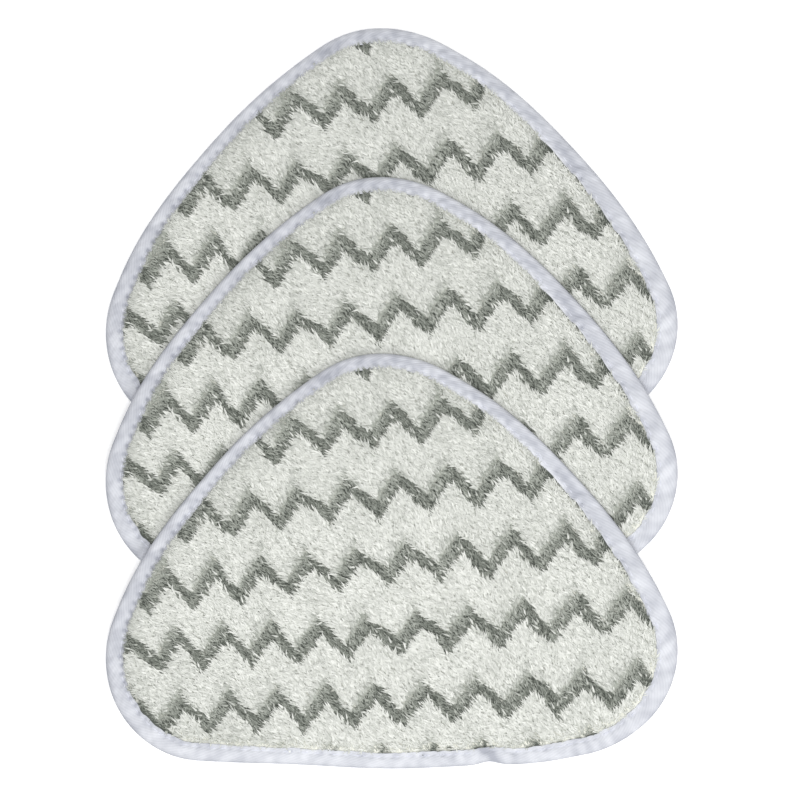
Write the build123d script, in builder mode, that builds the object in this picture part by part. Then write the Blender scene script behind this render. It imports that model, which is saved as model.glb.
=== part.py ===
from build123d import *
import os
from math import acos, atan2, ceil, degrees, floor, sqrt

# Three washable microfibre pads for the triangular head of a steam mop. They lie one on
# another like roof tiles, working face up: the back pad is flat on the floor, the middle
# pad laps over it, and the front pad laps over both. All three are the same product.
#
# Frame: X across the pads, +Y towards their rounded noses, +Z up from the floor.
# The origin is on the floor, under the middle of the whole set.
#
# A pad, from the floor up, is a loop face that the mop head's hooks grip, its backing
# cloth, an absorbent core, a knitted face cloth, and the pile: cream yarn, with shorter
# grey yarn in zigzag rows. A folded tape binds the edge, held by one seam through it all.

# Outline of one pad: four arcs a side, each tangent to the next
pad_width = 300.0
pad_depth = 217.0
nose_radius = 61.0
side_radius = 286.0
corner_radius = 53.0
base_radius = 1014.0

# Heights of the cloths and yarns
loop_height = 0.6
backing_thickness = 1.0
core_thickness = 2.2
face_thickness = 1.0
cream_height = 4.4
grey_height = 3.4

# Folded tape, and the seam that sinks into it
tape_thickness = 0.6
tape_reach = 9.0
tape_fold_bevel = 0.7
seam_inset = 7.2
thread_width = 0.6
thread_thickness = 0.4
thread_proud = 0.1

# Grey zigzag rows, counted from the base. The knitted cloth was cut a little askew, so the
# rows rise to the right, each more than the one before, and the zigzag opens out that way.
row_height = 32.8
row_spacing = 36.7
first_row_tilt = 2.5
row_tilt_step = 1.3
first_peak = -8.0
peak_step = -3.6
zigzag_period = 26.2
period_growth = 0.02
zigzag_swing = 14.0
zigzag_stroke = 9.4

# How the pads lie: each one's place from the front pad's, and its bends over the next
pads = ["back_pad", "middle_pad", "front_pad"]
pad_places = [(3.0, 170.9), (1.6, 92.6), (0.0, 0.0)]
resting_gap = 0.3
over_edge_radius = 50.0
onto_floor_radius = 60.0

# Heights in one pad, and the step up from one pad to the next
backing_base = loop_height
core_base = backing_base + backing_thickness
face_base = core_base + core_thickness
pile_base = face_base + face_thickness
edge_height = pile_base + tape_thickness
pad_height = pile_base + max(cream_height, grey_height)
pitch = pad_height + resting_gap
step_length = sqrt((over_edge_radius + onto_floor_radius) ** 2
                   - (over_edge_radius + onto_floor_radius - pitch) ** 2)
step_turn = degrees(acos(1 - pitch / (over_edge_radius + onto_floor_radius)))

# The set is centred on the origin
places_x = [x for x, y in pad_places]
places_y = [y for x, y in pad_places]
centre_x = (min(places_x) + max(places_x)) / 2
centre_y = (min(places_y) + max(places_y) + pad_depth) / 2
pad_origins = [(x - centre_x, y - centre_y) for x, y in pad_places]
set_height = len(pads) * pitch
set_depth = max(places_y) - min(places_y) + pad_depth


def outline(origin, inset):
    """A pad's outline from above, moved in from its edge, as a face on the floor.

    The arcs keep their centres as they move in, so every layer runs parallel."""
    nose = Vector(0, pad_depth - nose_radius)
    base = Vector(0, base_radius)
    corner_x = pad_width / 2 - corner_radius
    corner = base - Vector(-corner_x, sqrt((base_radius - corner_radius) ** 2 - corner_x**2))
    span = corner - nose
    to_nose = side_radius - nose_radius
    to_corner = side_radius - corner_radius
    along = (to_nose**2 - to_corner**2 + span.length**2) / (2 * span.length)
    aside = sqrt(to_nose**2 - along**2)
    ahead = span.normalized()
    side = nose + ahead * along + Vector(ahead.Y, -ahead.X) * aside
    nose_end = degrees(atan2(nose.Y - side.Y, nose.X - side.X))
    side_end = degrees(atan2(corner.Y - side.Y, corner.X - side.X))
    corner_end = degrees(atan2(corner.Y - base.Y, corner.X - base.X))
    with BuildSketch(Plane((*origin, 0))) as face:
        with BuildLine():
            CenterArc(nose, nose_radius - inset, 90, nose_end - 90)
            CenterArc(side, side_radius - inset, nose_end, side_end - nose_end)
            CenterArc(corner, corner_radius - inset, side_end, corner_end - side_end)
            CenterArc(base, base_radius - inset, corner_end, -90 - corner_end)
            mirror(about=Plane.YZ)
        make_face()
    return face.sketch


def draped(level, low, high):
    """The side view of a layer that reaches from low to high above a pad's underside.

    Past the base edge of each lower pad, the layer comes down by one pitch on two tangent
    arcs. Their centres are the same for every layer there, so layers and pads nest."""
    near = -set_depth
    far = set_depth
    with BuildSketch(Plane.YZ) as side_view:
        with BuildLine():
            for height in (low, high):
                start = far
                for lower in range(level):
                    stacked = (level - 1 - lower) * pitch + height
                    edge = pad_origins[lower][1] + tape_reach
                    foot = edge - step_length
                    over = (edge, pitch - over_edge_radius)
                    onto = (foot, onto_floor_radius)
                    Line((start, pitch + stacked), (edge, pitch + stacked))
                    CenterArc(over, over_edge_radius + stacked, 90, step_turn)
                    CenterArc(onto, onto_floor_radius - stacked, -90, step_turn)
                    start = foot
                Line((start, height), (near, height))
            Line((far, level * pitch + low), (far, level * pitch + high))
            Line((near, low), (near, high))
        make_face()
    return side_view.sketch


def stretched(distance):
    """How far along a row the zigzag is at an even zigzag's distance.

    The period is zigzag_period at the row's middle and grows by period_growth times the
    distance to the right, which gives a square root."""
    widest = zigzag_period / period_growth
    return widest * (1 - sqrt(1 - 2 * distance / widest))


def zigzag_rows(origin):
    """The grey rows from above: bands of one height that follow a zigzag."""
    half_period = zigzag_period / 2
    rows = floor((pad_depth - row_height) / row_spacing) + 1
    turns_aside = ceil(pad_width / zigzag_period) + 3
    with BuildSketch(Plane((*origin, 0))) as grey_rows:
        for row in range(rows):
            tilt = first_row_tilt + row_tilt_step * row
            ahead = Vector(1, 0).rotate(Axis.Z, tilt)
            across = Vector(0, 1).rotate(Axis.Z, tilt)
            crest = Vector(0, row_height + row_spacing * row) + across * zigzag_swing / 2
            first = first_peak + peak_step * row
            line = [
                crest + ahead * stretched(first + half_period * turn) - across * zigzag_swing * (turn % 2)
                for turn in range(-turns_aside, turns_aside + 1)
            ]
            rise = Vector(0, zigzag_stroke / 2)
            upper = [point + rise for point in line]
            lower = [point - rise for point in reversed(line)]
            with BuildLine():
                Polyline(*upper, *lower, close=True)
            make_face()
    return grey_rows.sketch


os.makedirs("parts", exist_ok=True)

for level, pad in enumerate(pads):
    origin = pad_origins[level]
    edge_outline = outline(origin, 0)
    cloth_outline = outline(origin, tape_thickness)
    window = outline(origin, tape_reach)
    seam_outer = outline(origin, seam_inset - thread_width / 2)
    seam_inner = outline(origin, seam_inset + thread_width / 2)
    rows = zigzag_rows(origin)

    # Loops on the back, inside the frame of the tape, for the mop head's hooks
    with BuildPart() as loop_face:
        extrude(draped(level, 0, loop_height), amount=pad_width, both=True)
        extrude(window, amount=set_height, mode=Mode.INTERSECT)

    with BuildPart() as backing_cloth:
        extrude(draped(level, backing_base, core_base), amount=pad_width, both=True)
        extrude(cloth_outline, amount=set_height, mode=Mode.INTERSECT)

    with BuildPart() as core:
        extrude(draped(level, core_base, face_base), amount=pad_width, both=True)
        extrude(cloth_outline, amount=set_height, mode=Mode.INTERSECT)

    with BuildPart() as face_cloth:
        extrude(draped(level, face_base, pile_base), amount=pad_width, both=True)
        extrude(cloth_outline, amount=set_height, mode=Mode.INTERSECT)

    # The taller cream yarn stands in bands between the grey rows
    with BuildPart() as cream_pile:
        extrude(draped(level, pile_base, pile_base + cream_height), amount=pad_width, both=True)
        extrude(window, amount=set_height, mode=Mode.INTERSECT)
        extrude(rows, amount=set_height, mode=Mode.SUBTRACT)

    with BuildPart() as grey_pile:
        extrude(draped(level, pile_base, pile_base + grey_height), amount=pad_width, both=True)
        extrude(window, amount=set_height, mode=Mode.INTERSECT)
        extrude(rows, amount=set_height, mode=Mode.INTERSECT)

    # Bobbin thread on the back and needle thread on the face, each sunk in the tape
    with BuildPart() as seam:
        needle_top = edge_height + thread_proud
        extrude(draped(level, 0, thread_thickness), amount=pad_width, both=True)
        extrude(draped(level, needle_top - thread_thickness, needle_top), amount=pad_width, both=True)
        extrude(seam_outer, amount=set_height, mode=Mode.INTERSECT)
        extrude(seam_inner, amount=set_height, mode=Mode.SUBTRACT)

    # Tape folded round the raw edge, with its fold bevelled
    with BuildPart() as binding:
        extrude(draped(level, 0, edge_height), amount=pad_width, both=True)
        extrude(edge_outline, amount=set_height, mode=Mode.INTERSECT)
        rims = edges().filter_by(Axis.X, reverse=True).filter_by(Axis.Z, reverse=True)
        chamfer(rims, tape_fold_bevel)
        add(backing_cloth.part, mode=Mode.SUBTRACT)
        add(core.part, mode=Mode.SUBTRACT)
        add(face_cloth.part, mode=Mode.SUBTRACT)
        extrude(window, amount=set_height, mode=Mode.SUBTRACT)
        add(seam.part, mode=Mode.SUBTRACT)

    pieces = {
        "loop_face": loop_face,
        "backing_cloth": backing_cloth,
        "core": core,
        "face_cloth": face_cloth,
        "cream_pile": cream_pile,
        "grey_pile": grey_pile,
        "seam": seam,
        "binding": binding,
    }
    for piece, built in pieces.items():
        built.part.label = f"{pad}_{piece}"
        export_step(built.part, f"parts/{pad}_{piece}.step")
        print(built.part.label, len(built.solids()), "solids,", round(built.part.volume), "mm3")
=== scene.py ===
from math import acos, atan2, cos, hypot, pi, radians, sin, sqrt, tau

import bpy
import numpy as np
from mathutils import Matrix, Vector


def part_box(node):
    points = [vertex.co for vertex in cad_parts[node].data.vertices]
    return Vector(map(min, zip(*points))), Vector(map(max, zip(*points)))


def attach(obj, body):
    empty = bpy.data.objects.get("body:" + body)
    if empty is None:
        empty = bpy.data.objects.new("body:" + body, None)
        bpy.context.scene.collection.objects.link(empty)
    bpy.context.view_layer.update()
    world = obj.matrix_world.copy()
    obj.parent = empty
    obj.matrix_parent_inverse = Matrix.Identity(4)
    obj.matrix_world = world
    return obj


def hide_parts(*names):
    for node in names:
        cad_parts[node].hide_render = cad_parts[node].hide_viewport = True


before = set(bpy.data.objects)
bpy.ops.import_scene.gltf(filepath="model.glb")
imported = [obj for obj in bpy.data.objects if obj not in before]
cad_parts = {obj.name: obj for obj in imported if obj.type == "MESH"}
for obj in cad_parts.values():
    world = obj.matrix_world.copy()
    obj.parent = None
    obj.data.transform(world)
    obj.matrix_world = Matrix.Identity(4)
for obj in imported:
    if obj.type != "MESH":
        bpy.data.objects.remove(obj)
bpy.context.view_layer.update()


# The set of pads
# Three identical pads lap over one another like roof tiles, working face up. Each is worked
# out flat, in mm from the middle of its base edge and up from its own underside. It is then
# laid where its solids are, bent over the pads below it.
pads = ["back_pad", "middle_pad", "front_pad"]
mm = 0.001
over_edge_radius = 50.0
onto_floor_radius = 60.0
lap_reach = 9.0
pile_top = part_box("back_pad_cream_pile")[1].z / mm
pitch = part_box("middle_pad_cream_pile")[1].z / mm - pile_top
step_turn = acos(1 - pitch / (over_edge_radius + onto_floor_radius))
step_length = (over_edge_radius + onto_floor_radius) * sin(step_turn)
pad_boxes = [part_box(f"{pad}_binding") for pad in pads]
pad_origins = [((low.x + high.x) / 2 / mm, low.y / mm) for low, high in pad_boxes]


def lay(flat, level):
    """Bends a pad's flat points (x, y, height) over the pads below it.

    Past each lower pad's edge a point comes down one pitch on two tangent arcs. Their
    centres are shared, so a point's height above its pad is added to one arc's radius and
    taken from the other's."""
    across = flat[:, 0] + pad_origins[level][0]
    along = flat[:, 1] + pad_origins[level][1]
    z = level * pitch + flat[:, 2]
    for lower in range(level):
        stacked = (level - 1 - lower) * pitch + flat[:, 2]
        edge = pad_origins[lower][1] + lap_reach
        foot = edge - step_length
        over = over_edge_radius + stacked
        onto = onto_floor_radius - stacked
        crest = pitch - over_edge_radius + np.sqrt(np.maximum(over**2 - (along - edge) ** 2, 0))
        trough = onto_floor_radius - np.sqrt(np.maximum(onto**2 - (along - foot) ** 2, 0))
        z = np.where(along < edge, crest, z)
        z = np.where(along < edge - over * sin(step_turn), trough, z)
        z = np.where(along < foot, stacked, z)
    return np.column_stack([across, along, z]) * mm


# The cut edge
# Every layer of a pad is cut to one outline: four arcs a side, each tangent to the next.
# It was cut and bound by hand, so the edge wanders by up to 2 mm.
pad_width = (pad_boxes[0][1].x - pad_boxes[0][0].x) / mm
pad_depth = (pad_boxes[0][1].y - pad_boxes[0][0].y) / mm
nose_radius = 61.0
side_radius = 286.0
corner_radius = 53.0
base_radius = 1014.0

# millimetres along the edge from the base middle, counter-clockwise, and how far out it is
wander_marks = [0, 45, 75, 125, 185, 230, 290, 350, 388, 435, 470, 530, 590, 640, 710, 770]
wander_out = [1.0, 0.6, 2.4, -1.7, 1.3, 1.0, -0.9, 0.3, -1.0, 1.2, 0.3, -1.1, 0.8, -0.9, 0.2, -1.3]
blend = 14.0

# where the tape's ends meet, and how far the edge is pulled in there
tape_join = 51.0
nick_width = 6.0
nick_depth = 1.8


def edge_arcs():
    """Each arc of the right half: centre, radius, first and last angle, and start in mm."""
    nose = np.array([0, pad_depth - nose_radius])
    base = np.array([0, base_radius])
    corner_x = pad_width / 2 - corner_radius
    corner = base + [corner_x, -sqrt((base_radius - corner_radius) ** 2 - corner_x**2)]
    span = corner - nose
    length = hypot(*span)
    to_nose = side_radius - nose_radius
    to_corner = side_radius - corner_radius
    along = (to_nose**2 - to_corner**2 + length**2) / (2 * length)
    aside = sqrt(to_nose**2 - along**2)
    ahead = span / length
    side = nose + ahead * along + np.array([ahead[1], -ahead[0]]) * aside
    nose_turn = atan2(*(nose - side)[::-1])
    side_turn = atan2(*(corner - side)[::-1])
    corner_turn = atan2(*(corner - base)[::-1])
    turns = [
        (base, base_radius, -pi / 2, corner_turn),
        (corner, corner_radius, corner_turn, side_turn),
        (side, side_radius, side_turn, nose_turn),
        (nose, nose_radius, nose_turn, pi / 2),
    ]
    arcs = []
    start = 0.0
    for centre, radius, first, last in turns:
        arcs.append((centre, radius, first, last, start))
        start += radius * (last - first)
    return arcs, start


arcs, half_edge = edge_arcs()
whole_edge = 2 * half_edge


def round_the_edge(place, marks, values):
    """A value that changes smoothly round the edge.

    The marks' values are joined by straight lines, then averaged over a blend to each side."""
    spread = np.linspace(-blend, blend, 15)
    return np.interp(place[..., None] + spread, marks, values, period=whole_edge).mean(-1)


def nick(place):
    """1 where the tape's ends meet, and 0 a little way off on a bell curve."""
    return np.exp(-((place - tape_join) / nick_width) ** 2)


def out_of_line(place):
    """How far out of its arcs the edge is: the marks' values, less at the nick."""
    return round_the_edge(place, wander_marks, wander_out) - nick_depth * nick(place)


def edge_points(place, inset):
    """Points at a distance in from the cut edge, at places in mm along it."""
    place = np.mod(place, whole_edge)
    right = place <= half_edge
    along = np.where(right, place, whole_edge - place)
    x = np.zeros_like(along)
    y = np.zeros_like(along)
    for centre, radius, first, last, start in arcs:
        here = along >= start
        turn = first + (along - start) / radius
        reach = radius - inset + out_of_line(place)
        x = np.where(here, centre[0] + reach * np.cos(turn), x)
        y = np.where(here, centre[1] + reach * np.sin(turn), y)
    return np.stack([np.where(right, x, -x), y], -1)


def from_edge(x, y):
    """How far in from the cut edge points are, and their places along it."""
    distance = np.full(x.shape, 1e9)
    place = np.zeros(x.shape)
    for centre, radius, first, last, start in arcs:
        dx = np.abs(x) - centre[0]
        dy = y - centre[1]
        turn = np.arctan2(dy, dx)
        inset = radius - np.hypot(dx, dy)
        nearer = (turn >= first) & (turn <= last) & (inset < distance)
        distance = np.where(nearer, inset, distance)
        place = np.where(nearer, start + (turn - first) * radius, place)
    place = np.where(x < 0, whole_edge - place, place)
    return distance + out_of_line(place), place


# Grey zigzag rows
# The pile is knitted in courses of cream and grey microfibre yarn. The grey rows run in
# zigzag, rise to the right and open out that way, because the cloth was cut a little askew.
row_height = 32.8
row_spacing = 36.7
first_row_tilt = radians(2.5)
row_tilt_step = radians(1.3)
first_peak = -8.0
peak_step = -3.6
zigzag_period = 26.45
period_growth = 0.02
zigzag_swing = 15.0
zigzag_stroke = 9.4
row_wobble = 30.0
row_sag = 0.6
cut_row_rise = 3.0

# how far each row is shifted to the right, from the one that the base edge cuts off
row_nudges = [-0.3, -0.3, 0.5, -0.5, -1.4, -0.3, -0.3]

# how far the lowest rows are off their lines at the pad's sides
side_upturn = 1.4
right_upturn = 1.6
right_drop = 4.5


def ripple(x, y, size, seed):
    """Smooth unevenness from -1 to 1: the mean of plane waves of about one size, in mm."""
    waves = 7
    draw = np.random.default_rng(seed)
    heading = draw.uniform(0, tau, waves)
    phase = draw.uniform(0, tau, waves)
    length = size * draw.uniform(0.7, 1.5, waves)
    travel = np.multiply.outer(x, np.cos(heading)) + np.multiply.outer(y, np.sin(heading))
    return np.clip(np.sin(travel * tau / length + phase).sum(-1) / sqrt(waves), -1, 1)


def upturn(x, row):
    """How far a row is above its own line.

    The two lowest rows turn up towards the sides, where the cloth was pulled into the
    corners, and the second one comes down again at its right end."""
    corners = side_upturn * (x / 120) ** 2 + right_upturn * np.clip(x / 130, 0, 1) ** 4
    drop = right_drop * np.clip((x - 122) / 16, 0, 1)
    return corners * (row < 2) - drop * (row == 1)


def nearest_row(x, y):
    """How far points are above the nearest grey row's middle line, and if it falls there.

    The line is a triangle wave about the row's own tilted line. Its period grows with
    distance to the right, so the phase has a square term."""
    offset = np.full(x.shape, 1e9)
    falls = np.zeros(x.shape, bool)
    wobble = ripple(x, y, row_wobble, 5)
    for row, nudge in enumerate(row_nudges, start=-1):
        tilt = first_row_tilt + row_tilt_step * max(row, 0)
        up = y - row_height - row_spacing * row + row_sag - cut_row_rise * (row < 0)
        up = up - upturn(x, row)
        ahead = x * cos(tilt) + up * sin(tilt) - nudge + wobble
        across = up * cos(tilt) - x * sin(tilt) + wobble
        turns = (ahead - first_peak - peak_step * row) / zigzag_period
        turns = turns - period_growth * ahead**2 / (2 * zigzag_period**2)
        phase = np.mod(turns, 1)
        off_line = across - zigzag_swing * (np.abs(2 * phase - 1) - 0.5)
        here = np.abs(off_line) < np.abs(offset)
        offset = np.where(here, off_line, offset)
        falls = np.where(here, phase < 0.5, falls)
    return offset, falls


# Face cloth
# A weft-knitted polyester ground that holds the roots of the pile. It shows only between
# the tufts, in the colour of the yarn that is knitted in there, with painted shade in the
# wider slits beside the tape. The seam pinches its edge.
face_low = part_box("back_pad_face_cloth")[0].z / mm
face_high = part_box("back_pad_face_cloth")[1].z / mm
cloth_inset = 1.3
root_bed = 0.8
grey_sink = 0.4
pinch = 0.8
open_slit = 0.4
pad_middle = np.array([0.0, 95.0])

# millimetres along the edge, and how wide the tape is there
tape_marks = [0, 100, 150, 190, 260, 330, 410, 490, 560, 630, 690, 730, 770]
tape_widths = [8.4, 8.8, 10.4, 11.0, 9.8, 8.0, 7.6, 7.6, 8.2, 9.6, 9.9, 9.2, 8.6]

# where the pile leans away from the tape, a slit of ground shows beside it, painted dark as
# shade where it is wide
slit_marks = [0, 10, 16, 42, 48, 80, 86, 112, 118, 215, 240, 265, 285, 305, 655, 678, 701, 780]
slit_widths = [0.2, 0.2, 0.6, 0.6, 0.1, 0.1, 0.7, 0.7, 0.1, 0.2, 1.3, 0.5, 1.4, 0.2, 0.2, 1.0, 0.2, 0.1]


def tape_at(place):
    """How wide the tape is at places along the edge: the marks' widths, less at the nick."""
    return round_the_edge(place, tape_marks, tape_widths) - nick(place)


def inside_tape(x, y):
    """How far points are inside the tape's inner edge, and how wide the slit is there."""
    distance, place = from_edge(x, y)
    slit = round_the_edge(place, slit_marks, slit_widths) * (1 + 0.7 * ripple(x, y, 3, 10))
    return distance - tape_at(place), slit


def ground_relief(x, y):
    """The bed of yarn roots: pinched under the tape, and lower in the grey rows."""
    room, slit = inside_tape(x, y)
    offset = nearest_row(x, y)[0]
    bed = root_bed - grey_sink * (np.abs(offset) < zigzag_stroke / 2) + 0.12 * ripple(x, y, 5, 9)
    return bed * np.clip(room / 2.5, 0, 1) - pinch * np.clip(1 - room / 1.5, 0, 1)


def carried_round(steps, insets, shares, heights):
    """A profile carried round the pad: each of its points is an inset from the edge, a share
    of the way on to the pad's middle, and a height. All three may vary round the edge."""
    place = np.linspace(0, whole_edge, steps, endpoint=False)
    rings = [
        np.column_stack([
            pad_middle + (edge_points(place, inset) - pad_middle) * (1 - share),
            np.broadcast_to(height, place.shape),
        ])
        for inset, share, height in zip(insets, shares, heights)
    ]
    return np.array(rings)


def grid_faces(rings, steps, closed):
    """Quads between neighbouring rings, and back to the first ring if closed."""
    ring = np.arange(rings if closed else rings - 1)[:, None]
    step = np.arange(steps)[None, :]
    here = ring * steps + step
    beside = ring * steps + (step + 1) % steps
    above = (ring + 1) % rings * steps + step
    corner = (ring + 1) % rings * steps + (step + 1) % steps
    return np.stack([here, beside, corner, above], -1).reshape(-1, 4)


def layer(inset, low, high, steps, under_rings, top_rings, relief=None):
    """A closed layer of the pad: its underside, cut edge and top, with both middles closed.

    relief gives the height that a point of the top is moved by."""
    under_shares = np.linspace(1, 0, under_rings + 1)[1:]
    top_shares = np.linspace(0, 1, top_rings + 1)[:-1]
    shares = np.concatenate([under_shares, top_shares])
    rings = len(shares)
    heights = np.repeat([float(low), float(high)], [under_rings, top_rings])
    grid = carried_round(steps, np.full(rings, float(inset)), shares, heights)
    middles = np.array([[*pad_middle, low], [*pad_middle, high]])
    flat = np.vstack([grid.reshape(-1, 3), middles])
    if relief is not None:
        top = np.r_[under_rings * steps:rings * steps, len(flat) - 1]
        flat[top, 2] += relief(flat[top, 0], flat[top, 1])
    quads = grid_faces(rings, steps, closed=False)
    step = np.arange(steps)
    after = (step + 1) % steps
    last = (rings - 1) * steps
    under = np.column_stack([np.full(steps, len(flat) - 2), after, step])
    over = np.column_stack([np.full(steps, len(flat) - 1), last + step, last + after])
    return flat, quads.tolist() + under.tolist() + over.tolist()


def add_piece(name, level, slot, flat, faces, material):
    """Lays a flat pad piece, makes its mesh, and lets it ride on its pad."""
    mesh = bpy.data.meshes.new(name)
    mesh.from_pydata(lay(flat, level), [], faces)
    mesh.shade_smooth()
    mesh.materials.append(material)
    piece = bpy.data.objects.new(name, mesh)
    bpy.context.scene.collection.objects.link(piece)
    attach(piece, pads[level])
    return piece


def linear(hex_colour):
    """An sRGB colour such as e6e8f4 as linear red, green, blue and alpha."""
    srgb = [int(hex_colour[i:i + 2], 16) / 255 for i in (0, 2, 4)]
    return [c / 12.92 if c <= 0.04045 else ((c + 0.055) / 1.055) ** 2.4 for c in srgb] + [1.0]


def new_material(name):
    """An empty node material with its shader, and that shader."""
    material = bpy.data.materials.new(name)
    material.use_nodes = True
    return material, material.node_tree.nodes["Principled BSDF"]


def add_node(material, kind, values=None, links=None, **settings):
    """Adds a node, with its settings, its sockets' values and what is linked to them."""
    made = material.node_tree.nodes.new(kind)
    for name, value in settings.items():
        setattr(made, name, value)
    for socket, value in (values or {}).items():
        made.inputs[socket].default_value = value
    for socket, source in (links or {}).items():
        material.node_tree.links.new(source, made.inputs[socket])
    return made


# matt polyester, cream where the cream yarn is knitted in and dark where the grey is, and
# painted dark as shade in the wider slits beside the tape
knit, knit_shader = new_material("knitted_polyester_ground")
yarn = add_node(knit, "ShaderNodeAttribute", attribute_name="yarn_and_slit_shade")
knit_colour = add_node(knit, "ShaderNodeMix", data_type="RGBA", links={"Factor": yarn.outputs["Fac"]},
                       values={"A": linear("f0f0e6"), "B": linear("5d625b")})
knit.node_tree.links.new(knit_colour.outputs["Result"], knit_shader.inputs["Base Color"])
knit_shader.inputs["Roughness"].default_value = 0.95


flat, faces = layer(cloth_inset, face_low, face_high, steps=460, under_rings=14, top_rings=44,
                    relief=ground_relief)
room, slit = inside_tape(flat[:, 0], flat[:, 1])
in_row = np.abs(nearest_row(flat[:, 0], flat[:, 1])[0]) < zigzag_stroke / 2
# grey yarn in the rows, and painted shade on the ground in the wider slits beside the tape
dark = in_row | (room < slit + 0.6) & (slit > open_slit)
for level, pad in enumerate(pads):
    ground = add_piece(f"{pad}_knitted_ground", level, "inner_cloth", flat, faces, knit)
    yarn_and_slit_shade = ground.data.attributes.new("yarn_and_slit_shade", "FLOAT", "POINT")
    yarn_and_slit_shade.data.foreach_set("value", dark.astype(np.float32))
    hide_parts(f"{pad}_face_cloth")


# Cream and grey pile
# Cut tufts of split microfibre, brushed so that they lie up and to the left. The cream ones
# are longer, so they fall over the lower edge of each grey row and leave it ragged.
tuft_spacing = 0.76
cream_length = 6.6
grey_length = 4.8
reach_seen = 3.6
grey_fade = 3.4
over_tape = 1.2
clump_size = 5.0
clump_pull = 0.9
surface_share = 0.8

# the cream tufts farther than this from the base edge are one piece and the nearer ones
# another, so that neither holds too many triangles
split_line = 82.0

# a tuft is shorter beside the tape, up to full_room from it. Its width is a share of its
# length, and its ridge rises by a share of its width
shortest = 0.66
full_room = 6.0
tuft_widths = (0.13, 0.18)
ridge_share = 0.35

# the way the pile was brushed, counter-clockwise from the right
brushed_way = radians(135)
brushed_fan = radians(15)
brushed_wander = radians(9)

# how far a tuft leans at its root and at its tip, and how far it turns aside
root_lean = radians(8)
root_spread = radians(12)
tip_lean = radians(102)
tip_spread = radians(10)
aside_spread = radians(18)
edge_spread = radians(60)

# tufts lie along the falling strokes of the zigzag and across the rising ones, so a rising
# stroke looks wider. Each pair is for falling and rising strokes: the width and the fade of
# their edges, as shares, how far their tops are smeared, the share of cream tufts that stray
# into them, and how grey the cream is just above them and how far up it stays so
stroke_widths = (1.08, 1.22)
stroke_fades = (0.5, 1.0)
smears = (1.6, 3.0)
stray_shares = (0.01, 0.03)
heather_tones = (0.3, 0.52)
heather_reaches = (0.9, 2.2)


def room_inside(x, y):
    """How far points are inside the tape's inner edge and the slit beside it."""
    room, slit = inside_tape(x, y)
    return room - slit


def tuft_roots(draw):
    """Roots on a square grid of knitted loops, each pushed aside at random."""
    across = np.arange(-pad_width / 2 - 3, pad_width / 2 + 3, tuft_spacing)
    along = np.arange(-3, pad_depth + 3, tuft_spacing)
    x, y = (grid.ravel() for grid in np.meshgrid(across, along))
    x = x + draw.uniform(-0.5, 0.5, x.shape) * tuft_spacing
    y = y + draw.uniform(-0.5, 0.5, y.shape) * tuft_spacing
    room = room_inside(x, y)
    return x[room > 0], y[room > 0], room[room > 0]


def lean_direction(x, y):
    """The way the pile was brushed: up and to the left, turning a little across the pad."""
    return brushed_way - x / 150 * brushed_fan + ripple(x, y, 70, 21) * brushed_wander


def tuft_shapes(x, y, room, length, draw):
    """Spindles. Each leans from steep at its root to flat or drooping at its tip, so its centre
    line is an arc, and its section is a flat-bottomed triangle. Beside the tape the tufts
    are shorter, turn aside more, and reach no farther than over_tape past its edge."""
    count = len(x)
    loose = aside_spread + edge_spread * np.clip(1 - room / 2, 0, 1)
    lean = lean_direction(x, y) + draw.normal(0, 1, count) * loose
    steep = root_lean + draw.uniform(-1, 1, count) * root_spread
    laid = tip_lean + draw.normal(0, tip_spread, count)
    length = length * (shortest + (1 - shortest) * np.clip(room / full_room, 0, 1))
    whole_reach = length * (np.cos(steep) - np.cos(laid)) / (laid - steep)
    tip_room = room_inside(x + whole_reach * np.cos(lean), y + whole_reach * np.sin(lean))
    held_back = np.clip((room + over_tape) / np.maximum(room - tip_room, 0.01), 0.05, 1)
    held_back = np.where(tip_room < -over_tape, held_back, 1)
    width = draw.uniform(*tuft_widths, count) * length
    aside = np.column_stack([-np.sin(lean), np.cos(lean), np.zeros(count)])
    clump_x = clump_pull * ripple(x, y, clump_size, 31)
    clump_y = clump_pull * ripple(x, y, clump_size, 32)
    corners = []
    for share, wide in ((0.0, 0.0), (0.5, 1.0), (1.0, 0.0)):
        turn = steep + (laid - steep) * share
        out = length * (np.cos(steep) - np.cos(turn)) / (laid - steep) * held_back
        up = length * (np.sin(turn) - np.sin(steep)) / (laid - steep)
        centre_x = x + out * np.cos(lean) + clump_x * share**2
        centre_y = y + out * np.sin(lean) + clump_y * share**2
        centre = np.column_stack([centre_x, centre_y, face_high + up])
        back = -np.cos(turn)
        ridge = np.column_stack([back * np.cos(lean), back * np.sin(lean), np.sin(turn)])
        half = (width * wide / 2)[:, None]
        crown = ridge * half * 2 * ridge_share
        section = [centre + aside * half, centre + crown, centre - aside * half]
        corners += section if wide else [centre]
    return np.stack(corners, 1)


# a tuft's corners are its root, its left side, ridge and right side halfway up, and its tip
upper_faces = [[0, 2, 1], [0, 3, 2], [1, 2, 4], [2, 3, 4]]
under_faces = [[0, 1, 3], [3, 1, 4]]
tuft_faces = np.array(upper_faces + under_faces)
tuft_corners = 5
card_places = [0.0, -0.006, 0.0, 0.006, 0.0]
card_heights = [0.02, 0.5, 0.5, 0.5, 0.98]


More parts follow.
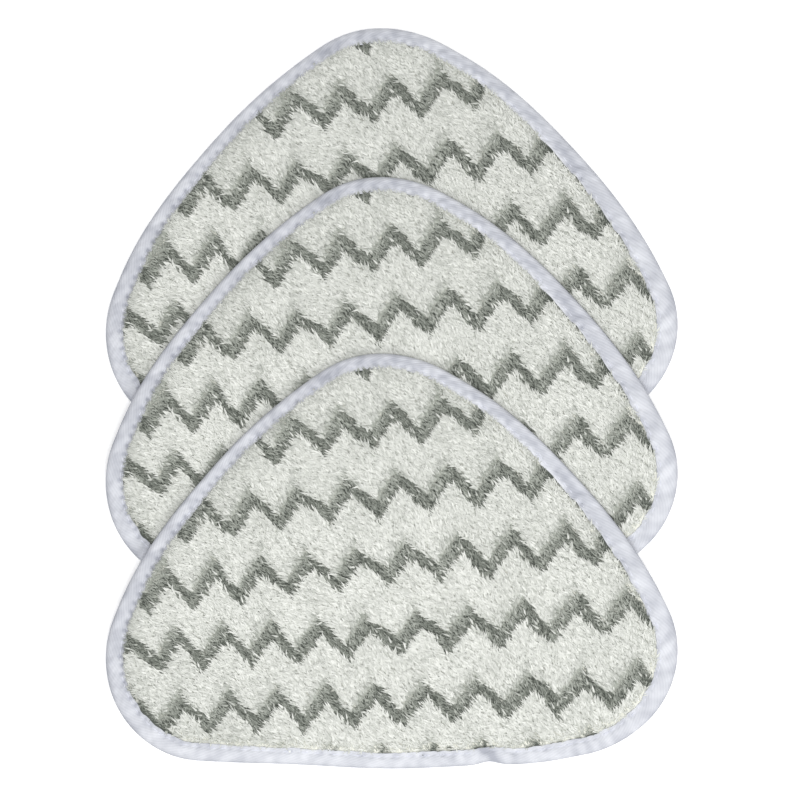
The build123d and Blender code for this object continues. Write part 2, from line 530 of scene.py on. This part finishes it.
def add_tufts(name, level, slot, shapes, tones, material):
    """One mesh of many tufts. Its map is a swatch card: tone across, root to tip upwards, with
    the undersides as light as the tips.

    Light passes through such fine fibres, so each tuft's upper side is shaded partly as the
    brushed surface that it lies in: its normals are turned most of the way to straight up."""
    faces = (tuft_faces[None] + np.arange(len(tones))[:, None, None] * tuft_corners).reshape(-1, 3)
    piece = add_piece(name, level, slot, shapes.reshape(-1, 3), faces, material)
    own = np.empty(len(piece.data.vertices) * 3, np.float32)
    piece.data.vertices.foreach_get("normal", own)
    face_own = np.empty(len(faces) * 3, np.float32)
    piece.data.polygons.foreach_get("normal", face_own)
    soft = own.reshape(-1, 3)[faces] * (1 - surface_share) + np.array([0, 0, 1]) * surface_share
    below = np.tile(np.arange(len(tuft_faces)) >= len(upper_faces), len(tones))
    soft = np.where(below[:, None, None], face_own.reshape(-1, 1, 3), soft)
    soft = soft / np.linalg.norm(soft, axis=2)[:, :, None]
    piece.data.normals_split_custom_set(soft.reshape(-1, 3))
    card_across = tones[:, None] + np.array(card_places)
    card_up = np.broadcast_to(card_heights, card_across.shape)
    card_up = np.where(below[:, None], card_heights[-1], card_up.ravel()[faces])
    swatches = np.stack([card_across.ravel()[faces], card_up], -1)
    card = piece.data.uv_layers.new(name="OFBake")
    card.data.foreach_set("uv", swatches.ravel())
    return piece


def pile_material(name, dark, light, root):
    """Split microfibre: matt, with a faint bloom at grazing angles, and painted shade that darkens it
    towards its roots.
    """
    material, shader = new_material(name)
    card = add_node(material, "ShaderNodeUVMap", uv_map="OFBake")
    parts = add_node(material, "ShaderNodeSeparateXYZ", links={0: card.outputs["UV"]})
    tones = add_node(material, "ShaderNodeMix", data_type="RGBA", links={"Factor": parts.outputs["X"]},
                     values={"A": linear(dark), "B": linear(light)})
    # painted shade: the colour goes from the tuft's tone to the root colour over its lower part
    rise = add_node(material, "ShaderNodeMapRange", links={"Value": parts.outputs["Y"]},
                    values={"From Min": 0.0, "From Max": 0.7})
    colour = add_node(material, "ShaderNodeMix", data_type="RGBA",
                      links={"Factor": rise.outputs["Result"], "B": tones.outputs["Result"]},
                      values={"A": linear(root)})
    material.node_tree.links.new(colour.outputs["Result"], shader.inputs["Base Color"])
    shader.inputs["Roughness"].default_value = 0.9
    shader.inputs["Specular IOR Level"].default_value = 0.2
    shader.inputs["Sheen Weight"].default_value = 0.2
    return material


cream_yarn = pile_material("cream_split_microfibre", dark="8e938a", light="f7f8f3", root="c0c4b9")
grey_yarn = pile_material("grey_split_microfibre", dark="6a6f67", light="bdc1b8", root="50554e")

# a tuft takes its colour from the row at the place where it is seen, past its root
draw = np.random.default_rng(23)
root_x, root_y, root_room = tuft_roots(draw)
lean = lean_direction(root_x, root_y)
reach = reach_seen * np.clip(root_room / full_room, 0.15, 1)
seen_x = root_x + reach * np.cos(lean)
seen_y = root_y + reach * np.sin(lean)
offset, falls = nearest_row(seen_x, seen_y)
stroke = np.where(falls, *stroke_widths) * zigzag_stroke + 0.8 * ripple(seen_x, seen_y, 11, 6)
fade = np.where(falls, *stroke_fades) * grey_fade
smear = np.where(falls, *smears)
below_top = np.clip((stroke / 2 + smear + fade / 2 - offset) / fade, 0, 1)
is_grey = (offset > 1 - stroke / 2) & (below_top > draw.uniform(0.3, 0.7, len(root_x)))
stray = np.where(falls, *stray_shares) > draw.uniform(0, 1, len(root_x))
is_grey &= ~stray
length = np.where(is_grey, grey_length * draw.uniform(0.6, 1.15, len(root_x)),
                  cream_length * draw.uniform(0.86, 1.1, len(root_x)))
shapes = tuft_shapes(root_x, root_y, root_room, length, draw)

# painted shade: grey tufts are darkest low in a rising stroke and high in a falling one, at the edge
# where the taller cream stands
risen = np.clip(offset / stroke + 0.5, 0, 1.2)
risen = np.where(falls, 0.5 - 0.4 * risen, 0.1 + 0.5 * risen)
grey_tone = 0.1 + risen + 0.5 * (1 - below_top) + draw.normal(0, 0.22, len(root_x))

# cream tufts are greyer just above a row and in clumps. Painted shade darkens them beside
# the tape at the left and towards the nose, and they are a little darker at the right
past_edge = np.clip(offset - stroke / 2 - smear, 0, 99)
heather = np.exp(-past_edge / np.where(falls, *heather_reaches)) * (offset > 0)
heather = heather * np.where(falls, *heather_tones)
clumps = 0.04 * ripple(root_x, root_y, 26, 41) + 0.06 * ripple(root_x, root_y, 4, 42)
clumps = clumps + 0.09 * ripple(root_x, root_y, 2.2, 43)
painted_shade_and_darkening = 0.18 * np.exp(-root_room / 9) * (root_x < -60) + 0.1 * np.clip(root_y / 100 - 1, 0, 1)
painted_shade_and_darkening = painted_shade_and_darkening + 0.05 * np.clip(root_x / 100 - 0.3, 0, 1)
cream_tone = 0.735 + clumps - heather - painted_shade_and_darkening + draw.normal(0, 0.12, len(root_x))
tones = np.clip(np.where(is_grey, grey_tone, cream_tone), 0.02, 0.98)
upper = root_y > split_line

for level, pad in enumerate(pads):
    pile = [
        (f"{pad}_cream_tufts_upper", "cream", ~is_grey & upper, cream_yarn),
        (f"{pad}_cream_tufts_lower", "cream", ~is_grey & ~upper, cream_yarn),
        (f"{pad}_grey_tufts", "grey", is_grey, grey_yarn),
    ]
    for name, colour, chosen, material in pile:
        tufts = add_tufts(name, level, f"{colour}_microfibre", shapes[chosen], tones[chosen], material)
        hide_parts(f"{pad}_{colour}_pile")


# Binding tape
# A white polyester twill tape, folded round the raw edge and stitched through. The stitches
# pull it in, so it puffs up between its fold and the seam and puckers along the stitches.
tape_steps = 1020
tape_thickness = 0.6
stitch_pitch = 5.4
seam_from_lip = 2.0
edge_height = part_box("back_pad_binding")[1].z / mm

# twill is a dull white, with slanting ribs that catch the light as a faint stripe. The ribs
# are bumped, and their stripe is also painted into the colour as highlight and shade. Real
# ribs are about 0.6 mm apart, too fine to show, so these are drawn 1.5 mm apart
rib_spacing = 1.5
rib_slant = 0.45
rib_relief = 0.1 * mm
cloud_size = 4.545
tape, tape_shader = new_material("white_polyester_twill_tape")
tape_map = add_node(tape, "ShaderNodeUVMap", uv_map="tape_mm")
tape_parts = add_node(tape, "ShaderNodeSeparateXYZ", links={0: tape_map.outputs["UV"]})
ahead = add_node(tape, "ShaderNodeMath", operation="MULTIPLY", links={0: tape_parts.outputs["X"]},
                 values={1: -rib_slant})
diagonal = add_node(tape, "ShaderNodeMath", operation="ADD",
                    links={0: ahead.outputs[0], 1: tape_parts.outputs["Y"]})
rib_phase = add_node(tape, "ShaderNodeMath", operation="MULTIPLY", links={0: diagonal.outputs[0]},
                     values={1: tau / rib_spacing})
ribs = add_node(tape, "ShaderNodeMath", operation="SINE", links={0: rib_phase.outputs[0]})
clouds = add_node(tape, "ShaderNodeTexNoise", links={"Vector": tape_map.outputs["UV"]},
                  values={"Scale": 1 / cloud_size, "Detail": 3.0})
# the tape's own tone with its painted shade and highlight, carried in an attribute
tone_and_painted_light = add_node(tape, "ShaderNodeAttribute", attribute_name="tone_and_painted_light")
clouded = add_node(tape, "ShaderNodeMath", operation="MULTIPLY_ADD",
                   links={0: clouds.outputs["Fac"], 2: tone_and_painted_light.outputs["Fac"]}, values={1: 0.3})
ribbed = add_node(tape, "ShaderNodeMath", operation="MULTIPLY_ADD",
                  links={0: ribs.outputs[0], 2: clouded.outputs[0]}, values={1: 0.06})
tape_colour = add_node(tape, "ShaderNodeMix", data_type="RGBA", links={"Factor": ribbed.outputs[0]},
                       values={"A": linear("adb0ba"), "B": linear("e4e6ec")})
tape_bump = add_node(tape, "ShaderNodeBump", links={"Height": ribs.outputs[0]},
                     values={"Strength": 0.4, "Distance": rib_relief})
tape.node_tree.links.new(tape_colour.outputs["Result"], tape_shader.inputs["Base Color"])
tape.node_tree.links.new(tape_bump.outputs["Normal"], tape_shader.inputs["Normal"])
tape_shader.inputs["Roughness"].default_value = 0.75

# unevenness along the tape is taken on a circle as long as the edge, so that its ends meet
place = np.linspace(0, whole_edge, tape_steps, endpoint=False)
around = place * tau / whole_edge
circle_x = np.cos(around) * whole_edge / tau
circle_y = np.sin(around) * whole_edge / tau
tape_width = tape_at(place) + 0.35 * ripple(circle_x, circle_y, 14, 54)
tape_width = tape_width + 0.2 * ripple(circle_x, circle_y, 5, 55)
seam_share = 1 - seam_from_lip / tape_width
stitch = (0.5 + 0.5 * np.cos(place * tau / whole_edge * round(whole_edge / stitch_pitch))) ** 2

# millimetres along the edge, and how much painted shade each stitch's dent has there
dent_marks = [0, 120, 200, 300, 400, 480, 560, 650, 690, 760]
dent_shades = [0.25, 0.2, 0.45, 0.3, 0.3, 0.5, 1.0, 1.0, 0.4, 0.2]

# millimetres along the edge, and how white the tape is painted there: its own tone with painted shade,
# most on the nose and the left side
white_marks = [0, 100, 160, 230, 310, 360, 385, 410, 440, 470, 500, 560, 630, 690, 730, 770]
white_tones_and_painted_shade = [
    0.52, 0.5, 0.43, 0.42, 0.5, 0.58, 0.52, 0.38, 0.5, 0.42, 0.44, 0.37, 0.32, 0.45, 0.5, 0.52,
]

# millimetres along the edge, and how much painted shade the tape's fold has there
fold_marks = [0, 250, 410, 560]
fold_shades = [1.0, 0.7, 0.0, 0.7]

# millimetres along the edge, and how much painted shade the tape's middle has there, with a painted
# highlight on its lip
core_marks = [240, 280, 320, 350, 385, 400, 412, 445, 470]
core_shades = [0.0, 0.9, 0.6, 0.9, 0.6, 0.7, 0.5, 0.9, 0.0]

# the shape of the tape's face, in mm
puff_height = 0.5
seam_dip = 0.2
stitch_dip = 0.5
gather_height = 0.2
pulled_depth = 0.8
fold_droop = 1.5
overlap_height = 0.35
overlap_length = 14.0


def tape_face(share):
    """Height of the tape's upper face, from 0 at the fold to 1 at its inner edge.

    It domes up between the fold and the seam, by more in some places than in others, and
    dips at the seam, most at each stitch. Slanted gathers cross it, and where its ends
    meet one lies over the other."""
    dome = np.sin(pi * np.clip(share / seam_share, 0, 1)) ** 0.8
    puff = 0.55 + 0.45 * ripple(circle_x, circle_y, 34, 51) + 0.3 * ripple(circle_x, circle_y, 13, 52)
    dip = np.exp(-((share - seam_share) * tape_width) ** 2) * (seam_dip + stitch_dip * stitch)
    slant = share * tape_width * 0.9
    gather = ripple(circle_x + slant, circle_y + slant, 6, 53) * gather_height
    pulled = np.clip(ripple(circle_x, circle_y, 9, 56) - 0.3, 0, 1)
    pulled = pulled * np.exp(-((share - 0.72) / 0.16) ** 2)
    gather = gather - pulled_depth * pulled - fold_droop * (1 - share) ** 1.5
    past_join = overlap_height / (1 + np.exp(-(place - tape_join + slant) * 4))
    overlap = past_join * (place < tape_join + overlap_length)
    return edge_height + dome * puff * puff_height - dip + gather * (share > 0.1) + overlap


# the tape's section is a closed loop: its under face from the inner edge to the fold, round
# the fold, its upper face, and back along its inside. Each point is an inset and a height,
# and the under face's also starts with a share of the tape's width
under_face = [
    (1.0, 0.0, 0.15),
    (1.0, -1.1, 0.08),
    (1.0, -seam_from_lip, 0.3),
    (1.0, -2.9, 0.05),
    (0.5, 0.0, 0.0),
]
fold = [(1.6, 0.0), (0.7, 0.3), (0.2, 0.9), (0.0, 1.6), (0.0, 2.4), (0.2, 3.2), (0.8, 4.0)]
face_shares = np.linspace(0.2, 1.0, 15)
inner_fold = [(1.1, 3.4), (0.7, 2.6), (0.7, 1.8), (1.0, 1.0), (1.8, 0.6)]
tape_insets = [share * tape_width + inset for share, inset, height in under_face]
tape_heights = [np.full(tape_steps, height) for share, inset, height in under_face]
tape_insets += [np.full(tape_steps, inset) for inset, height in fold]
tape_heights += [np.full(tape_steps, height) for inset, height in fold]
tape_insets += [share * tape_width for share in face_shares]
tape_heights += [tape_face(share) for share in face_shares]
tape_insets += [share * tape_width for share in face_shares[::-2]]
tape_heights += [tape_face(share) - tape_thickness for share in face_shares[::-2]]
tape_insets += [np.full(tape_steps, inset) for inset, height in inner_fold]
tape_heights += [np.full(tape_steps, height) for inset, height in inner_fold]
tape_insets += [tape_width * 0.5, tape_width]
tape_heights += [np.full(tape_steps, tape_thickness)] * 2
tape_rings = len(tape_insets)
tape_grid = carried_round(tape_steps, tape_insets, np.zeros(tape_rings), tape_heights)
tape_faces = grid_faces(tape_rings, tape_steps, closed=True)
ring_inset = np.array([inset.mean() for inset in tape_insets])
ring_height = np.array([height.mean() for height in tape_heights])
ring_gap = np.hypot(np.roll(ring_inset, -1) - ring_inset, np.roll(ring_height, -1) - ring_height)
run_across = np.concatenate([[0], np.cumsum(ring_gap)])

# painted shade: it is greyer in the stitches' dents, where its ends meet, in its fold and along its
# middle, with a painted highlight on its lip
from_seam = (ring_inset[:, None] - (tape_width - seam_from_lip)) / 1.4
dent_shade = np.exp(-from_seam**2) * stitch * np.interp(place, dent_marks, dent_shades, period=whole_edge)
join_shade = np.exp(-((place - tape_join - 3 + 0.6 * ring_inset[:, None]) / 4) ** 2)
shaded_fold = np.exp(-ring_inset / 0.5)[:, None]
shaded_fold = shaded_fold * np.interp(place, fold_marks, fold_shades, period=whole_edge)
width_share = ring_inset[:, None] / tape_width
in_middle = np.exp(-((width_share - 0.5) / 0.25) ** 2)
lip_highlight = np.exp(-((width_share - 1.0) / 0.12) ** 2)
shaded_core = np.interp(place, core_marks, core_shades) * (in_middle - 0.9 * lip_highlight)
cloud_x = circle_x + ring_inset[:, None] * np.cos(around)
cloud_y = circle_y + ring_inset[:, None] * np.sin(around)
lumps = 0.14 * ripple(cloud_x, cloud_y, 18, 57) + 0.14 * ripple(cloud_x, cloud_y, 7, 58)
tape_tone_and_painted_light = round_the_edge(place, white_marks, white_tones_and_painted_shade) + lumps
tape_tone_and_painted_light = tape_tone_and_painted_light - 0.6 * dent_shade - 0.65 * join_shade - 0.6 * shaded_fold - 0.5 * shaded_core

first_ring = np.repeat(np.arange(tape_rings), tape_steps)[:, None]
first_step = np.tile(np.arange(tape_steps), tape_rings)[:, None]
mm_along = (first_step + np.array([0, 1, 1, 0])) * whole_edge / tape_steps
mm_across = run_across[first_ring + np.array([0, 0, 1, 1])]
for level, pad in enumerate(pads):
    binding = add_piece(f"{pad}_tape", level, "binding_tape", tape_grid.reshape(-1, 3), tape_faces, tape)
    tape_uv = binding.data.uv_layers.new(name="tape_mm")
    tape_uv.data.foreach_set("uv", np.stack([mm_along, mm_across], -1).ravel())
    white_layer = binding.data.attributes.new("tone_and_painted_light", "FLOAT", "POINT")
    white_layer.data.foreach_set("value", tape_tone_and_painted_light.astype(np.float32).ravel())
    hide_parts(f"{pad}_binding")


# Seam
# White polyester lockstitches, 4.5 mm long, one needle line on the face and one bobbin line
# on the back. Each stitch bulges between the two holes that it dives into.
thread_radius = 0.22
stitch_length = 4.5
stitch_rings = 5
stitch_sides = 6
stitch_count = round(whole_edge / stitch_pitch)
needle_depth = 0.42
bobbin_height = 0.24
thread_sink = 0.55

# spun polyester is as white as the tape and a little smoother, so that stitches have a
# soft shine
thread, thread_shader = new_material("white_polyester_thread")
thread_shader.inputs["Base Color"].default_value = linear("e2e4ef")
thread_shader.inputs["Roughness"].default_value = 0.55


def stitch_line(height, facing):
    """A row of stitches along the seam. Each is a thread whose centre sinks by a parabola
    towards its ends, with a ring of sides at each of a few places along it."""
    first = (np.arange(stitch_count) + 0.5) * whole_edge / stitch_count
    flat = []
    for ring in range(stitch_rings):
        share = ring / (stitch_rings - 1) * 2 - 1
        at = first + share * stitch_length / 2
        inset = tape_at(np.mod(at, whole_edge)) - seam_from_lip
        for side in range(stitch_sides):
            turn = side * tau / stitch_sides
            taper = thread_radius * (1 - 0.5 * share**4)
            point = edge_points(at, inset + cos(turn) * taper)
            z = height + sin(turn) * taper - facing * thread_sink * share**2
            flat.append(np.column_stack([point, np.broadcast_to(z, first.shape)]))
    return np.stack(flat, 1)


def stitch_faces(count):
    """Quads along every stitch, and a cap at each end of it."""
    ring, side = np.divmod(np.arange((stitch_rings - 1) * stitch_sides), stitch_sides)
    here = ring * stitch_sides + side
    beside = ring * stitch_sides + (side + 1) % stitch_sides
    quads = np.column_stack([here, beside, beside + stitch_sides, here + stitch_sides])
    near_cap = np.arange(stitch_sides)[::-1]
    far_cap = np.arange(stitch_sides) + (stitch_rings - 1) * stitch_sides
    caps = np.array([near_cap, far_cap])
    first = np.arange(count)[:, None, None] * stitch_rings * stitch_sides
    quads = (quads + first).reshape(-1, 4)
    caps = (caps + first).reshape(-1, stitch_sides)
    return quads.tolist() + caps.tolist()


needle_line = stitch_line(edge_height - needle_depth, facing=1)
bobbin_line = stitch_line(bobbin_height, facing=-1)
flat = np.concatenate([needle_line, bobbin_line]).reshape(-1, 3)
faces = stitch_faces(2 * stitch_count)
for level, pad in enumerate(pads):
    seam = add_piece(f"{pad}_stitches", level, "polyester_thread", flat, faces, thread)
    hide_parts(f"{pad}_seam")


# Loop face
# Brushed loop knit on the back, which hooks on the mop head grip. Its edge is under the tape.
loop_low = 0.05
loop_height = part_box("back_pad_loop_face")[1].z / mm
loop_inset = 7.2

# brushed nylon is matt white. The pits between its loops are bumped, and painted darker as
# shade. Real loops are about 1 mm apart, and these are drawn 1.4 mm apart to show
loop_spacing = 1.4286 * mm
loop_relief = 0.5 * mm
loop_knit, loop_shader = new_material("brushed_nylon_loop_knit")
loop_map = add_node(loop_knit, "ShaderNodeTexCoord")
loops = add_node(loop_knit, "ShaderNodeTexVoronoi", links={"Vector": loop_map.outputs["Object"]},
                 values={"Scale": 1 / loop_spacing})
loop_colour_and_pit_shade = add_node(loop_knit, "ShaderNodeMix", data_type="RGBA",
                       links={"Factor": loops.outputs["Distance"]},
                       values={"A": linear("f0f0ec"), "B": linear("b9bab6")})
loop_bump = add_node(loop_knit, "ShaderNodeBump", links={"Height": loops.outputs["Distance"]},
                     values={"Strength": 0.6, "Distance": loop_relief})
loop_bump.invert = True
loop_knit.node_tree.links.new(loop_colour_and_pit_shade.outputs["Result"], loop_shader.inputs["Base Color"])
loop_knit.node_tree.links.new(loop_bump.outputs["Normal"], loop_shader.inputs["Normal"])
loop_shader.inputs["Roughness"].default_value = 0.95

flat, faces = layer(loop_inset, loop_low, loop_height, steps=300, under_rings=30, top_rings=14)
for level, pad in enumerate(pads):
    loop_face = add_piece(f"{pad}_loop_knit", level, "loop_knit", flat, faces, loop_knit)
    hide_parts(f"{pad}_loop_face")


# Backing cloth and wadding
# A plain knit that carries the loops, and needled polyester wadding that soaks up water.
# Both are cut to the pad's outline, and only their cut edges could be seen, in the tape.
backing_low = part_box("back_pad_backing_cloth")[0].z / mm
core_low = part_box("back_pad_core")[0].z / mm

# loose white fibres, with no shine at all
wadding, wadding_shader = new_material("needled_polyester_wadding")
wadding_shader.inputs["Base Color"].default_value = linear("eeeeea")
wadding_shader.inputs["Roughness"].default_value = 1.0

backing_mesh = layer(cloth_inset, backing_low, core_low, steps=200, under_rings=14, top_rings=14)
wadding_mesh = layer(cloth_inset, core_low, face_low, steps=200, under_rings=14, top_rings=14)
for level, pad in enumerate(pads):
    backing = add_piece(f"{pad}_plain_knit", level, "inner_cloth", *backing_mesh, knit)
    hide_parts(f"{pad}_backing_cloth")
    core = add_piece(f"{pad}_wadding", level, "wadding", *wadding_mesh, wadding)
    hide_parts(f"{pad}_core")


# Floor, light and camera
# A white light table seen from straight above, in soft even light that comes a little more
# from the pads' base edges.
floor_mesh = bpy.data.meshes.new("table")
floor_mesh.from_pydata([(-3, -3, 0), (3, -3, 0), (3, 3, 0), (-3, 3, 0)], [], [(0, 1, 2, 3)])
floor = bpy.data.objects.new("table", floor_mesh)
bpy.context.scene.collection.objects.link(floor)

# matt white plastic lit from below, so that it stays white beside the pads
white_table, white_shader = new_material("white_table")
white_shader.inputs["Base Color"].default_value = linear("f8f8f8")
white_shader.inputs["Roughness"].default_value = 0.9
white_shader.inputs["Emission Color"].default_value = linear("ffffff")
white_shader.inputs["Emission Strength"].default_value = 0.25
floor_mesh.materials.append(white_table)

world = bpy.data.worlds.new("studio")
bpy.context.scene.world = world
world.use_nodes = True
world.node_tree.nodes["Background"].inputs["Color"].default_value = linear("ffffff")
world.node_tree.nodes["Background"].inputs["Strength"].default_value = 0.32

for name, energy, size, location, turn in [
    ("overhead", 34.0, 1.0, (0.0, 0.0, 2.5), (0, 0, 0)),
    ("key", 11.0, 0.9, (0.45, -1.0, 1.3), (radians(40), 0, radians(24))),
]:
    light = bpy.data.lights.new(name, "AREA")
    light.size = size
    light.energy = energy
    lamp = bpy.data.objects.new(name, light)
    lamp.location = location
    lamp.rotation_euler = turn
    bpy.context.scene.collection.objects.link(lamp)

# the camera looks straight down from far off, turned by one degree as in the photo
photo_size = 800
mm_per_pixel = 0.5254
photo_turn = radians(1.0)
middle_of_photo = (0.0060, -0.0013)
camera_height = 6.0
camera = bpy.data.cameras.new("camera")
camera.lens = camera.sensor_width * camera_height / (photo_size * mm_per_pixel * mm)
camera.clip_end = 100
camera_object = bpy.data.objects.new("camera", camera)
camera_object.location = (*middle_of_photo, camera_height)
camera_object.rotation_euler = (0, 0, -photo_turn)
bpy.context.scene.collection.objects.link(camera_object)
bpy.context.scene.camera = camera_object
bpy.context.scene.view_settings.view_transform = "Standard"
